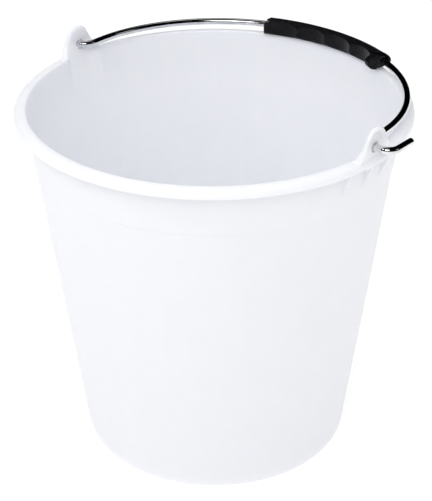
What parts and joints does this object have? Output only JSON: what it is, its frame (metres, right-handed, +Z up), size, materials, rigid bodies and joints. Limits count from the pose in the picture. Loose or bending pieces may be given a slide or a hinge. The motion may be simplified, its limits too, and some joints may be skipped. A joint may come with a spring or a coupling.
{
  "type": "florist bucket",
  "caption": "Tapered white plastic bucket with a rolled rim and pierced ears, a wire bail that swings through them, and a black moulded grip with finger grooves.",
  "frame": {"origin": "centre of the foot, on the plane that the bucket stands on", "axes": "+Z up the bucket's axis; X along the bail's pivot line through both ears; the bail lies back over the rim towards +Y at rest"},
  "size_m": [0.3378, 0.31, 0.3162],
  "materials": {
    "white_plastic": "natural white polyethylene, semi-gloss, slightly translucent, lightly scuffed",
    "bright_wire": "bright plated steel wire",
    "black_plastic": "moulded black plastic, semi-gloss"
  },
  "bodies": {
    "bucket": {"bucket_body": "white_plastic"},
    "bail": {"bail_wire": "bright_wire", "grip_palm_shell": "black_plastic", "grip_finger_core": "black_plastic"}
  },
  "joints": [
    {"name": "bail_swing", "type": "hinge", "parent": "bucket", "child": "bail", "pos_m": [0, 0, 0.3006], "axis": [1, 0, 0], "range_deg": [0, 179.5]}
  ]
}
